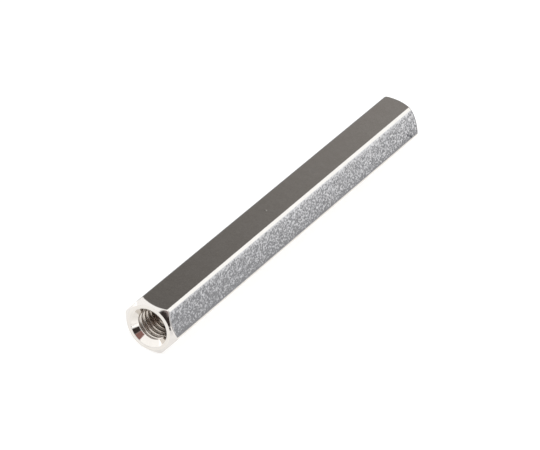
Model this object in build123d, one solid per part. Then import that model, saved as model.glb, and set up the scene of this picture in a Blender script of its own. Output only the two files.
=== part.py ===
from build123d import *
import math
import os

# Hex standoff: a length of hexagonal bar with a tapped, countersunk blind hole
# in each end. It lies on one flat. The bar's axis runs along X, +Z is up, and
# the origin is at the middle of the flat it rests on.

# ---- driving dimensions, mm -------------------------------------------------
ACROSS_FLATS = 4.5        # hexagon, flat to flat
LENGTH = 40.0             # end face to end face
EDGE_RADIUS = 0.36        # rounding of the six long edges of the drawn bar
END_FACE_D = 4.12         # flat end face, inside the turned chamfer
CHAMFER_DEG = 40.0        # turned chamfer, measured from the end face
THREAD_MAJOR_D = 3.0      # M3 x 0.5 internal thread
THREAD_PITCH = 0.5
TAP_DRILL_D = 2.5         # bore wall before tapping, also the thread's crests
CSK_MOUTH_D = 3.48        # countersink where it meets the end face
CSK_INCLUDED_DEG = 90.0
DRILL_DEPTH = 12.0        # end face to the end of the straight wall
DRILL_POINT_DEG = 118.0   # included angle of the drill point

# ---- derived ----------------------------------------------------------------
half = LENGTH / 2
apothem = ACROSS_FLATS / 2
corner = ACROSS_FLATS / math.sqrt(3)
r_end = END_FACE_D / 2
r_bore = TAP_DRILL_D / 2
r_mouth = CSK_MOUTH_D / 2
csk_depth = (r_mouth - r_bore) / math.tan(math.radians(CSK_INCLUDED_DEG / 2))
point_depth = r_bore / math.tan(math.radians(DRILL_POINT_DEG / 2))
over = 0.6                                   # the turned cone runs past the corners
over_x = over * math.tan(math.radians(CHAMFER_DEG))

# ---- the bar: rounded hexagon with flats above and below ---------------------
# In Plane.YZ the sketch's x is the object's Y and the sketch's y is its Z.
hexagon = Polygon(
    *[(corner * math.cos(math.radians(60 * k)), corner * math.sin(math.radians(60 * k))) for k in range(6)],
    align=None,
)
hexagon = fillet(hexagon.vertices(), EDGE_RADIUS)
bar = extrude(Plane.YZ.offset(-half) * hexagon, LENGTH)

# ---- turned chamfers: the bar kept inside a double-ended cone ----------------
envelope = revolve(
    Plane.XZ * make_face(Polyline(
        (-half, 0), (-half, r_end), (-half + over_x, r_end + over),
        (half - over_x, r_end + over), (half, r_end), (half, 0), close=True)),
    Axis.X,
)
bar = bar & envelope

# ---- one hole in each end: countersink, straight wall, drill point -----------
def hole(sign):
    profile = [
        (sign * half, 0),
        (sign * half, r_mouth),
        (sign * (half - csk_depth), r_bore),
        (sign * (half - DRILL_DEPTH), r_bore),
        (sign * (half - DRILL_DEPTH - point_depth), 0),
    ]
    return revolve(Plane.XZ * make_face(Polyline(*profile, close=True)), Axis.X)


bar = bar - hole(1) - hole(-1)

# ---- rest the bottom flat on z = 0 ------------------------------------------
standoff = Pos(0, 0, apothem) * bar
solids = standoff.solids()
assert len(solids) == 1, len(solids)
body = solids[0]
body.label = "hex_standoff"

os.makedirs("parts", exist_ok=True)
export_step(body, "parts/hex_standoff.step")
bb = body.bounding_box()
print("volume mm3", round(body.volume, 3), "box", bb.min, bb.max)
print("wall length mm", round(DRILL_DEPTH - csk_depth, 4), "countersink depth", round(csk_depth, 4))
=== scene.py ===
import math

import bmesh
import bpy
import numpy as np
from mathutils import Matrix, Vector


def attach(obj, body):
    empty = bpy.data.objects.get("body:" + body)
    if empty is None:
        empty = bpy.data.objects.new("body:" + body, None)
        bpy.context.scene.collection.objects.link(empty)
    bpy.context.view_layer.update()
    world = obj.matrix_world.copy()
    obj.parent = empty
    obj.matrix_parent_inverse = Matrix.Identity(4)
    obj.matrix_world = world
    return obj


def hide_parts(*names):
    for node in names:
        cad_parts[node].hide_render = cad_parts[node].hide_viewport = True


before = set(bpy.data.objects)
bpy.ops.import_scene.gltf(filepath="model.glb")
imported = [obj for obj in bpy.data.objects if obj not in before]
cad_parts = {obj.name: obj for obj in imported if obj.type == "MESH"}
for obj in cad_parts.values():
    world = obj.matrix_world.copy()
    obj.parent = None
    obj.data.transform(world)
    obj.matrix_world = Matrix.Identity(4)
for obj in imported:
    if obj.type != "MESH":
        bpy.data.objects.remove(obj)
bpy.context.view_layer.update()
scene = bpy.context.scene

# ---------------------------------------------------------------------------
# The hex standoff, in millimetres, axis along X through the origin. It is
# turned into metres and set down on its flat at the end.
# ---------------------------------------------------------------------------
AF = 4.5                 # across flats
LENGTH = 39.9996         # 40, a hair inside the solid's ends
EDGE_R = 0.36            # rounding of the long edges
END_R = 2.06             # radius of the flat end face
CHAMFER_TAN = math.tan(math.radians(40))
CROWN = 0.0025           # fall of the drawn flats towards their long edges
BORE_R = 1.25            # thread crests
MOUTH_R = 1.74           # countersink mouth
DRILL = 12.0             # depth of the straight wall
POINT_DEG = 118.0
MAJOR_R = 1.5            # thread roots
PITCH = 0.5
THREAD_DEPTH = 10.0      # full thread, with a short run-out after it
START = 0.36             # depth at which the first turn is full
HALF = LENGTH / 2
MM = 0.001
TAN30 = math.tan(math.radians(30))


def outline(n_flat=24, n_arc=8):
    """Rounded hexagon with flats above and below: (y, z) points, counterclockwise seen from +X."""
    corner = AF / math.sqrt(3)
    centre = corner - (EDGE_R + CROWN) / math.cos(math.radians(30))
    half_flat = AF / 2 * TAN30 - EDGE_R * TAN30
    lean = math.degrees(math.atan(8 * CROWN / half_flat))
    arcs = []
    for k in range(6):
        a = math.radians(60 * k)
        arc = []
        for j in range(n_arc + 1):
            b = a + math.radians((30 - lean) * (2 * j / n_arc - 1))
            arc.append((centre * math.cos(a) + EDGE_R * math.cos(b), centre * math.sin(a) + EDGE_R * math.sin(b)))
        arcs.append(arc)
    points = []
    for k in range(6):
        points += arcs[k]
        p, q = arcs[k][-1], arcs[(k + 1) % 6][0]
        b = math.radians(60 * k + 30)
        for j in range(1, n_flat):
            u = -math.cos(math.pi * j / n_flat)
            t, h = (u + 1) / 2, CROWN * (1 - u ** 8)
            points.append((p[0] + (q[0] - p[0]) * t + h * math.cos(b), p[1] + (q[1] - p[1]) * t + h * math.sin(b)))
    return np.array(points)


def rounded(path, radii, n=3):
    """A polyline of (depth, radius) points with each inner corner turned into a short arc."""
    path = [np.array(p, float) for p in path]
    out = [path[0]]
    for a, p, b, rho in zip(path, path[1:], path[2:], radii):
        if rho <= 0:
            out.append(p)
            continue
        u, v = (a - p) / np.linalg.norm(a - p), (b - p) / np.linalg.norm(b - p)
        turn = math.pi - math.acos(max(-1, min(1, float(u @ v))))
        t = rho * math.tan(turn / 2)
        mid = (u + v) / np.linalg.norm(u + v)
        centre = p + mid * (rho / math.cos(turn / 2))
        s, e = p + u * t - centre, p + v * t - centre
        for j in range(n + 1):
            w = j / n
            d = s * math.sin((1 - w) * turn) / math.sin(turn) + e * math.sin(w * turn) / math.sin(turn)
            out.append(centre + d)
    out.append(path[-1])
    return out


def blank():
    """The bar with chamfered ends, countersinks and plain drilled holes, as one closed mesh."""
    ring = outline()
    n = len(ring)
    radius = np.hypot(ring[:, 0], ring[:, 1])
    unit = ring / radius[:, None]
    csk = MOUTH_R - BORE_R
    tip = DRILL + BORE_R / math.tan(math.radians(POINT_DEG / 2))
    per_column = []
    for R in radius:
        path = [
            (DRILL, BORE_R), (csk, BORE_R), (0, MOUTH_R), (0, END_R),
            ((R - END_R) * CHAMFER_TAN, R), ((R - END_R) * CHAMFER_TAN + 0.13, R), (1.2, R),
        ]
        line = rounded(path, (0.20, 0.008, 0.006, 0.17, 0.0), 5)
        a, b = line[6], line[7]                       # the straight part of the countersink
        line[7:7] = [a + (b - a) * k / 9 for k in range(1, 9)]
        per_column.append(line)
    rows = len(per_column[0])
    inner = np.array(per_column)                      # column, row, (depth, radius)
    body = [2.5, 6.0, 11.0, 16.0]
    index = []
    for side in (-1, 1):
        part = []
        for r in range(rows):
            x = side * (HALF - inner[:, r, 0])
            part.append(np.column_stack([x, unit * inner[:, r, 1][:, None]]))
        for s in body:
            part.append(np.column_stack([np.full(n, side * (HALF - s)), ring]))
        index.append(part)
    grid = index[0] + [np.column_stack([np.zeros(n), ring])] + index[1][::-1]
    bm = bmesh.new()
    rings = [[bm.verts.new(p) for p in row] for row in grid]
    for a, b in zip(rings, rings[1:]):
        for i in range(n):
            j = (i + 1) % n
            bm.faces.new((a[i], a[j], b[j], b[i]))
    for row, x in ((rings[0], -HALF + tip), (rings[-1], HALF - tip)):
        pole = bm.verts.new((x, 0, 0))
        for i in range(n):
            bm.faces.new((row[i], row[(i + 1) % n], pole))
    bmesh.ops.recalc_face_normals(bm, faces=bm.faces)
    mesh = bpy.data.meshes.new("bar")
    bm.to_mesh(mesh)
    bm.free()
    return mesh


def tap(side, phase):
    """The metal that the tap cuts out of one hole: a right-hand 60 degree helical ridge.
    phase is the groove's depth, in mm, where it crosses the angle zero (+Y)."""
    def flank(r):
        return 0.03125 + (MAJOR_R - r) * TAN30

    # from the rounded crest down the flank to the rounded root: (half width, radius)
    one_side = [
        (0.248, 1.2445), (0.2396, 1.2463), (0.2143, 1.2530), (0.1906, 1.2641), (0.1692, 1.2791), (0.1507, 1.2976),
        (flank(1.319), 1.319), (flank(1.380), 1.380), (flank(1.470), 1.470), (0.029, 1.488), (0.013, 1.496),
    ]
    section = [(-w, r) for w, r in one_side] + [(0.0, 1.498)] + [(w, r) for w, r in one_side[::-1]]
    seg = 72
    first = -2                                        # turns before the mouth
    last = int((THREAD_DEPTH + 1.0) / PITCH)
    bm = bmesh.new()
    rings = []
    for i in range(first * seg, last * seg + 1):
        turn = i / seg
        depth = phase + PITCH * turn
        # the tap's lead: the last turns grow shallow, and the first runs out in the countersink
        fade = max(0.0, depth - (THREAD_DEPTH - 0.9)) / 1.4
        drop = 0.34 * min(1.0, fade) ** 1.1 + 1.2 * min(0.25, max(0.0, START - depth))
        ang = 2 * math.pi * turn * (1 if side < 0 else -1)
        row = []
        for d, r in section:
            rr = r - drop
            x = side * (HALF - depth - d)
            row.append(bm.verts.new((x, rr * math.cos(ang), rr * math.sin(ang))))
        rings.append(row)
    m = len(section)
    for a, b in zip(rings, rings[1:]):
        for k in range(m):
            j = (k + 1) % m
            bm.faces.new((a[k], a[j], b[j], b[k]))
    bm.faces.new(rings[0])
    bm.faces.new(rings[-1])
    bmesh.ops.recalc_face_normals(bm, faces=bm.faces)
    mesh = bpy.data.meshes.new("tap")
    bm.to_mesh(mesh)
    bm.free()
    return mesh


def standoff():
    work = bpy.data.objects.new("bar_work", blank())
    scene.collection.objects.link(work)
    tools = []
    for side, phase in ((-1, -0.270), (1, 0.11)):
        t = bpy.data.objects.new("tap_work", tap(side, phase))
        scene.collection.objects.link(t)
        mod = work.modifiers.new("tap", "BOOLEAN")
        mod.operation = "DIFFERENCE"
        mod.solver = "EXACT"
        mod.object = t
        tools.append(t)
    bpy.context.view_layer.update()
    done = work.evaluated_get(bpy.context.evaluated_depsgraph_get())
    mesh = bpy.data.meshes.new_from_object(done)
    for o in tools + [work]:
        data = o.data
        bpy.data.objects.remove(o)
        bpy.data.meshes.remove(data)
    bm = bmesh.new()
    bm.from_mesh(mesh)
    bmesh.ops.remove_doubles(bm, verts=bm.verts, dist=2e-5)
    bmesh.ops.dissolve_degenerate(bm, edges=bm.edges, dist=2e-5)
    bm.to_mesh(mesh)
    bm.free()
    mesh.transform(Matrix.Translation((0, 0, AF / 2 * MM)) @ Matrix.Scale(MM, 4))
    mesh.name = "hex_standoff_body"
    mesh.shade_smooth()
    mesh.set_sharp_from_angle(angle=math.radians(40))
    return mesh


# ---------------------------------------------------------------------------
# Node helper
# ---------------------------------------------------------------------------
class Nodes:
    def __init__(self, tree):
        self.t = tree

    def add(self, kind, **props):
        n = self.t.nodes.new(kind)
        for k, v in props.items():
            setattr(n, k, v)
        return n

    def put(self, socket, value):
        if isinstance(value, bpy.types.NodeSocket):
            self.t.links.new(value, socket)
        else:
            socket.default_value = value

    def math(self, op, *values, clamp=False):
        n = self.add("ShaderNodeMath", operation=op, use_clamp=clamp)
        for s, v in zip(n.inputs, values):
            self.put(s, v)
        return n.outputs[0]

    def vec(self, op, *values, out=0):
        n = self.add("ShaderNodeVectorMath", operation=op)
        ins = [s for s in n.inputs]
        for s, v in zip(ins, values):
            self.put(s, v)
        return n.outputs[out]

    def scale(self, v, k):
        n = self.add("ShaderNodeVectorMath", operation="SCALE")
        self.put(n.inputs[0], v)
        self.put(n.inputs["Scale"], k)
        return n.outputs[0]

    def dot(self, a, b):
        n = self.add("ShaderNodeVectorMath", operation="DOT_PRODUCT")
        self.put(n.inputs[0], a)
        self.put(n.inputs[1], b)
        return n.outputs["Value"]

    def step(self, value, lo, hi, to_lo=0.0, to_hi=1.0, kind="SMOOTHSTEP"):
        n = self.add("ShaderNodeMapRange", interpolation_type=kind, clamp=True)
        self.put(n.inputs["Value"], value)
        self.put(n.inputs["From Min"], lo)
        self.put(n.inputs["From Max"], hi)
        self.put(n.inputs["To Min"], to_lo)
        self.put(n.inputs["To Max"], to_hi)
        return n.outputs["Result"]

    def mix(self, factor, a, b):
        n = self.add("ShaderNodeMix", data_type="RGBA")
        self.put(n.inputs[0], factor)
        for s, v in ((n.inputs[6], a), (n.inputs[7], b)):
            self.put(s, (*v, 1.0) if isinstance(v, tuple) and len(v) == 3 else v)
        return n.outputs[2]

    def noise(self, vector, scale, detail=2.0, rough=0.5, out="Fac"):
        n = self.add("ShaderNodeTexNoise")
        self.put(n.inputs["Vector"], vector)
        self.put(n.inputs["Scale"], scale)
        self.put(n.inputs["Detail"], detail)
        self.put(n.inputs["Roughness"], rough)
        return n.outputs[out]


def nickel():
    """Bright nickel plate: fine orange-peel grain on the drawn flats, turning marks on the ends."""
    m = bpy.data.materials.new("bright_nickel_plate")
    m.use_nodes = True
    t = m.node_tree
    t.nodes.clear()
    N = Nodes(t)
    out = N.add("ShaderNodeOutputMaterial")
    bsdf = N.add("ShaderNodeBsdfPrincipled")
    t.links.new(bsdf.outputs[0], out.inputs["Surface"])
    coord = N.add("ShaderNodeTexCoord").outputs["Object"]
    mm = N.vec("MULTIPLY", coord, (1000.0, 1000.0, 1000.0))
    p = N.vec("SUBTRACT", mm, (0.0, 0.0, AF / 2))
    sep = N.add("ShaderNodeSeparateXYZ")
    t.links.new(p, sep.inputs[0])
    x, y, z = sep.outputs
    ax = N.math("ABSOLUTE", x)
    depth = N.math("SUBTRACT", HALF, ax)                       # from the nearer end face
    rad = N.math("SQRT", N.math("ADD", N.math("MULTIPLY", y, y), N.math("MULTIPLY", z, z)))
    # bore and thread, from the inner edge of the countersink inwards
    in_hole = N.math("MULTIPLY", N.step(rad, 1.60, 1.66, 1.0, 0.0), N.step(N.math("ADD", depth, rad), 1.76, 1.86))
    # turned surfaces: end faces, chamfers, countersinks and holes
    past = N.math("SUBTRACT", depth, N.math("MULTIPLY", N.math("SUBTRACT", rad, END_R), CHAMFER_TAN))
    on_end = N.math("MAXIMUM", N.step(past, 0.01, 0.05, 1.0, 0.0), N.step(rad, 1.80, 1.86, 1.0, 0.0))

    # colour: warm nickel with faint mottling, and painted shade that grows darker and browner down the bore
    mott = N.noise(p, 0.9, 3.0, 0.55)
    colour = N.mix(N.step(mott, 0.35, 0.65), (0.728, 0.692, 0.650), (0.750, 0.716, 0.676))
    # painted shade: the bore's colour darkens with depth from the countersink inwards
    bore_painted_shade = N.math("MULTIPLY", in_hole, N.step(depth, 0.5, 2.6, 0.25, 1.0, "LINEAR"))
    colour = N.mix(N.math("MULTIPLY", bore_painted_shade, 0.85), colour, (0.58, 0.505, 0.433))
    # painted shade: the end faces and chamfers are coloured a little darker than the rest
    colour = N.mix(N.math("MULTIPLY", on_end, N.step(rad, 1.74, 1.80)), colour, (0.698, 0.669, 0.640))
    # a short dark scuff on the -Y side flat, near its lower corner at the +X end
    a, b = Vector((17.92, -2.245, 0.612)), Vector((18.58, -2.474, 0.215))
    way = tuple((b - a).normalized())
    off = N.vec("SUBTRACT", p, tuple(a))
    run = N.dot(off, way)
    apart = N.vec("LENGTH", N.vec("SUBTRACT", off, N.scale(way, run)), out="Value")
    reach = N.math("MULTIPLY", N.step(run, -0.06, 0.06), N.step(run, (b - a).length + 0.06, (b - a).length - 0.06))
    scuff = N.math("MULTIPLY", reach, N.step(apart, 0.12, 0.05))
    colour = N.mix(N.math("MULTIPLY", scuff, 0.9), colour, (0.24, 0.232, 0.228))
    N.put(bsdf.inputs["Base Color"], colour)
    bsdf.inputs["Metallic"].default_value = 1.0

    # roughness: bright plate, a little uneven, duller in the thread
    r_noise = N.noise(p, 5.0, 3.0, 0.6)
    rough = N.step(r_noise, 0.3, 0.7, 0.07, 0.11, "LINEAR")
    rough = N.math("ADD", rough, N.math("MULTIPLY", in_hole, 0.15))
    N.put(bsdf.inputs["Roughness"], rough)

    # fine grain of the plating on the drawn bar: each fleck leans a fraction of a degree its own way
    fleck = N.noise(p, 6.0, 1.0, 0.5, "Color")
    coarser = N.step(x, -15.0, 5.0, 0.092, 0.077, "LINEAR")     # a little stronger towards the -X end
    lean = N.scale(N.vec("SUBTRACT", fleck, (0.5, 0.5, 0.5)), N.step(on_end, 0.0, 1.0, coarser, 0.003, "LINEAR"))
    # a tiny raised speck on the upper flat
    spot = N.vec("SUBTRACT", p, (-2.60, 0.16, AF / 2))
    lean = N.vec("ADD", lean, N.scale(spot, N.step(N.vec("LENGTH", spot, out="Value"), 0.20, 0.06, 0.0, 1.7)))
    grain = N.vec("NORMALIZE", N.vec("ADD", N.add("ShaderNodeNewGeometry").outputs["Normal"], lean))
    # faint orange peel and drawing lines along the bar
    coarse = N.noise(p, 2.2, 1.0, 0.5)
    lines = N.noise(N.vec("MULTIPLY", p, (0.12, 9.0, 9.0)), 1.0, 2.0, 0.6)
    height = N.math("ADD", N.math("MULTIPLY", coarse, 0.15), N.math("MULTIPLY", lines, 0.012))
    # turning marks: fine rings on the end faces and in the countersinks
    rings = N.math("SINE", N.math("MULTIPLY", rad, 2 * math.pi / 0.055))
    turned = N.math("ADD", N.math("MULTIPLY", rings, 0.006), N.math("MULTIPLY", coarse, 0.05))
    mixed = N.add("ShaderNodeMix", data_type="FLOAT")
    N.put(mixed.inputs[0], on_end)
    N.put(mixed.inputs[2], height)
    N.put(mixed.inputs[3], turned)
    bump = N.add("ShaderNodeBump")
    bump.inputs["Strength"].default_value = 1.0
    bump.inputs["Distance"].default_value = 0.018 * MM
    N.put(bump.inputs["Height"], mixed.outputs[0])
    N.put(bump.inputs["Normal"], grain)
    N.put(bsdf.inputs["Normal"], bump.outputs[0])
    return m


# ---------------------------------------------------------------------------
# The piece
# ---------------------------------------------------------------------------
mesh = standoff()
body = bpy.data.objects.new("hex_standoff_body", mesh)
scene.collection.objects.link(body)
mesh.materials.clear()
mesh.materials.append(nickel())
weighted = body.modifiers.new("even_normals", "WEIGHTED_NORMAL")
weighted.keep_sharp = True
weighted.weight = 80
bpy.context.view_layer.update()
smooth = bpy.data.meshes.new_from_object(body.evaluated_get(bpy.context.evaluated_depsgraph_get()))
body.modifiers.clear()
body.data = smooth
smooth.name = "hex_standoff_body"
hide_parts("hex_standoff")
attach(body, "root")

# ---------------------------------------------------------------------------
# Floor: a white light table
# ---------------------------------------------------------------------------
floor_mesh = bpy.data.meshes.new("floor")
half = 1.5
floor_mesh.from_pydata([(-half, -half, 0), (half, -half, 0), (half, half, 0), (-half, half, 0)], [], [(0, 1, 2, 3)])
floor = bpy.data.objects.new("floor", floor_mesh)
floor.location = (0, 0, -0.00002)
scene.collection.objects.link(floor)
fm = bpy.data.materials.new("white_table")
fm.use_nodes = True
fm.node_tree.nodes.clear()
F = Nodes(fm.node_tree)
f_out = F.add("ShaderNodeOutputMaterial")
f_bsdf = F.add("ShaderNodeBsdfPrincipled")
f_bsdf.inputs["Base Color"].default_value = (0.5, 0.5, 0.495, 1)
f_bsdf.inputs["Roughness"].default_value = 0.12
f_bsdf.inputs["Emission Color"].default_value = (1.0, 1.0, 0.995, 1)
f_bsdf.inputs["Emission Strength"].default_value = 0.71
fm.node_tree.links.new(f_bsdf.outputs[0], f_out.inputs["Surface"])
floor_mesh.materials.append(fm)


# ---------------------------------------------------------------------------
# Three cards that show only in reflections
# ---------------------------------------------------------------------------
def grey_card(name, points, faces):
    mesh = bpy.data.meshes.new(name)
    mesh.from_pydata(points, [], faces)
    card = bpy.data.objects.new(name, mesh)
    scene.collection.objects.link(card)
    card.visible_camera = card.visible_diffuse = card.visible_shadow = card.visible_transmission = False
    m = bpy.data.materials.new(name)
    m.use_nodes = True
    m.node_tree.nodes.clear()
    mesh.materials.append(m)
    C = Nodes(m.node_tree)
    at = C.add("ShaderNodeSeparateXYZ")
    C.put(at.inputs[0], C.vec("MULTIPLY", C.add("ShaderNodeTexCoord").outputs["Object"], (1000.0, 1000.0, 1000.0)))
    glow = C.add("ShaderNodeEmission")
    out = C.add("ShaderNodeOutputMaterial")
    return C, at.outputs, glow, out


def fade(C, glow, out, amount):
    """The card shows by this amount, from 0 (clear) to 1."""
    blend = C.add("ShaderNodeMixShader")
    C.put(blend.inputs[0], amount)
    C.put(blend.inputs[1], C.add("ShaderNodeBsdfTransparent").outputs[0])
    C.put(blend.inputs[2], glow.outputs[0])
    C.put(out.inputs["Surface"], blend.outputs[0])


# at the back left, bent round the bar: the upper flat mirrors it, darker towards the -X end
arc = [math.radians(104 + 6 * k) for k in range(13)]
C, at, glow, out = grey_card(
    "back_card",
    [(x, -0.060 * math.cos(a), AF / 2 * MM + 0.060 * math.sin(a)) for a in arc for x in (0.022, 0.130)],
    [(2 * k, 2 * k + 1, 2 * k + 3, 2 * k + 2) for k in range(12)])
C.put(glow.inputs["Color"], C.mix(C.step(at[0], 34.0, 96.0, 0.0, 1.0, "LINEAR"), (0.147, 0.141, 0.136), (0.300, 0.290, 0.284)))
round_bar = C.math("MULTIPLY", C.math("ARCTAN2", C.math("SUBTRACT", at[2], AF / 2), C.math("MULTIPLY", at[1], -1.0)), 180 / math.pi)
ends = C.math("MULTIPLY", C.step(at[0], 22.0, 38.0), C.step(at[0], 130.0, 106.0))
fade(C, glow, out, C.math("MULTIPLY", ends, C.step(round_bar, 104.0, 112.0)))

# lying on the table beside the bar and beyond its far end, fading out towards it
C, at, glow, out = grey_card(
    "table_card",
    [(-0.017, -1.4, -0.00001), (1.4, -1.4, -0.00001), (1.4, 1.4, -0.00001), (-0.017, 1.4, -0.00001)],
    [(0, 1, 2, 3)])
glow.inputs["Color"].default_value = (0.304, 0.32, 0.352, 1)
away = C.math("MAXIMUM", C.math("SUBTRACT", C.math("ABSOLUTE", at[1]), 2.3), C.math("SUBTRACT", at[0], HALF))
slope = C.math("DIVIDE", 1.5, C.math("MAXIMUM", away, 0.01))
near = C.step(slope, C.step(at[1], -1.0, 1.0, 0.42, 1.0), C.step(at[1], -1.0, 1.0, 0.0, 0.25))
fade(C, glow, out, C.math("MULTIPLY", near, C.step(at[0], -17.0, -10.0)))

# a dark one on the table in front of the -X end, which the chamfer mirrors
C, at, glow, out = grey_card(
    "front_card",
    [(x * MM, y * MM, -0.00001) for x, y in ((-32, -15.2), (-32, -7.5), (-45, -15), (-120, -60), (-120, -110), (-45, -28.9))],
    [(0, 1, 2, 3, 4, 5)])
glow.inputs["Color"].default_value = (0.05, 0.042, 0.04, 1)
C.put(out.inputs["Surface"], glow.outputs[0])

# ---------------------------------------------------------------------------
# Studio light: the white cloth, soft box and dark gaps of a light tent
# ---------------------------------------------------------------------------
world = bpy.data.worlds.new("studio")
scene.world = world
world.use_nodes = True
wt = world.node_tree
wt.nodes.clear()
W = Nodes(wt)
w_out = W.add("ShaderNodeOutputWorld")
w_bg = W.add("ShaderNodeBackground")
wt.links.new(w_bg.outputs[0], w_out.inputs["Surface"])
d = W.add("ShaderNodeTexCoord").outputs["Generated"]
sep = W.add("ShaderNodeSeparateXYZ")
wt.links.new(d, sep.inputs[0])
elev = W.math("MULTIPLY", W.math("ARCSINE", sep.outputs[2]), 180 / math.pi)


def tilt(towards):
    """The surface slope that mirrors this part of the studio towards a fixed direction:
    how far it faces the -X end, and its turn about the bar's axis (0 at -Y, 90 upwards, degrees)."""
    h = W.vec("NORMALIZE", W.vec("ADD", d, towards))
    s = W.add("ShaderNodeSeparateXYZ")
    wt.links.new(h, s.inputs[0])
    face = W.math("MULTIPLY", s.outputs[0], -1.0)
    turn = W.math("ARCTAN2", s.outputs[2], W.math("MULTIPLY", s.outputs[1], -1.0))
    return face, W.math("MULTIPLY", turn, 180 / math.pi)


face, turn = tilt((-0.7329, -0.3407, 0.5889))
# dark gap at the back, above the table
along = W.step(face, -0.007, 0.035, 0.0, 1.0, "LINEAR")
light = W.mix(W.step(turn, 97.0, 140.0), (0.20, 0.194, 0.19, 1.0), (0.34, 0.335, 0.33))
# long soft box at the back right, fading down to a cool wall at the table's edge
wall = W.mix(along, (0.735, 0.765, 0.825), (0.272, 0.294, 0.328))
box = W.mix(W.step(elev, 0.0, 1.6, 0.0, 1.0, "LINEAR"), wall, W.mix(along, (1.12, 1.17, 1.26), (0.855, 0.892, 0.972)))
box = W.mix(W.step(turn, 33.2, 42.6, 0.0, 1.0, "LINEAR"), box, (1.33, 1.36, 1.38))
light = W.mix(W.step(turn, 87.0, 79.0), light, box)
# the tent beside and over it: grey to the right, white to the left and overhead, dim beyond the far end
tent = W.mix(W.step(elev, 24.0, 36.0), (0.60, 0.60, 0.61), (0.42, 0.425, 0.435))
tent = W.mix(W.step(sep.outputs[1], -0.25, 0.45), tent, (1.05, 1.05, 1.05))
tent = W.mix(W.step(elev, 48.0, 60.0), tent, (1.30, 1.305, 1.31))
tent = W.mix(W.step(face, -0.07, -0.12), tent, (0.30, 0.30, 0.305))
over = W.math("MULTIPLY", W.step(turn, 80.0, 85.0), W.step(turn, 110.0, 100.0))     # the gap at the back runs on overhead
band = W.math("MULTIPLY", W.step(face, -0.14, -0.07), W.step(face, W.step(over, 0.0, 1.0, 0.16, 0.56), W.step(over, 0.0, 1.0, 0.08, 0.46)))
light = W.mix(band, tent, light)
# broad white cloth in front
light = W.mix(W.step(face, 0.52, 0.66), light, (1.30, 1.305, 1.31))
# opening in the cloth, dark with a brown upper part
face, turn = tilt((-0.6951, -0.3600, 0.6223))
outer = W.step(face, 0.725, 0.750)
inner = W.math("MULTIPLY", W.step(face, 0.63, 0.67), W.math("SUBTRACT", 1.0, outer))
outer = W.math("MULTIPLY", outer, W.step(face, 0.95, 0.91))
low_part = W.math("MULTIPLY", W.step(turn, 31.0, 34.0), W.step(turn, 51.0, 49.0))
mid_part = W.math("MULTIPLY", W.step(turn, 49.0, 51.0), W.step(turn, 71.0, 68.0))
wide_part = W.math("MULTIPLY", W.step(turn, 14.0, 18.0), W.step(turn, 74.0, 69.0))
light = W.mix(W.math("MULTIPLY", inner, mid_part), light, (0.31, 0.165, 0.15))
black = W.math("ADD", W.math("MULTIPLY", inner, low_part), W.math("MULTIPLY", outer, wide_part))
light = W.mix(black, light, (0.045, 0.036, 0.033))
# low dark gap in front, between the table and the cloth
gap = W.math("MULTIPLY", W.step(face, 0.825, 0.85), W.step(face, 0.95, 0.92))
gap = W.math("MULTIPLY", gap, W.math("MULTIPLY", W.step(turn, 60.0, 68.0), W.step(turn, 140.0, 120.0)))
light = W.mix(gap, light, (0.20, 0.165, 0.145))
# a plain pale backdrop where the tent itself would be seen
light = W.mix(W.add("ShaderNodeLightPath").outputs["Is Camera Ray"], light, (0.93, 0.935, 0.94))
wt.links.new(light, w_bg.inputs["Color"])
w_bg.inputs["Strength"].default_value = 1.0

# ---------------------------------------------------------------------------
# Camera, from the photograph's own perspective
# ---------------------------------------------------------------------------
RIGHT = Vector((0.52321, -0.83654, 0.16263))
DOWN = Vector((-0.43888, -0.42808, -0.79002))
AHEAD = Vector((0.73051, 0.34197, -0.59111))
EYE = Vector((-38.89741 * AF - HALF, -20.14761 * AF, 34.82723 * AF + AF / 2)) * MM
FOCAL_PX = 3145.67
aim = (AHEAD - RIGHT * (0.5 / FOCAL_PX) - DOWN * (0.5 / FOCAL_PX)).normalized()
right = (RIGHT - aim * RIGHT.dot(aim)).normalized()
down = aim.cross(right)
cam_data = bpy.data.cameras.new("camera")
cam_data.sensor_fit = "HORIZONTAL"
cam_data.sensor_width = 36.0
cam_data.lens = FOCAL_PX / 540 * 36.0
cam_data.clip_start, cam_data.clip_end = 0.01, 10.0
cam = bpy.data.objects.new("camera", cam_data)
rot = Matrix((right, -down, -aim)).transposed()
cam.matrix_world = Matrix.Translation(EYE) @ rot.to_4x4()
scene.collection.objects.link(cam)
scene.camera = cam

scene.view_settings.view_transform = "Standard"
scene.view_settings.look = "None"
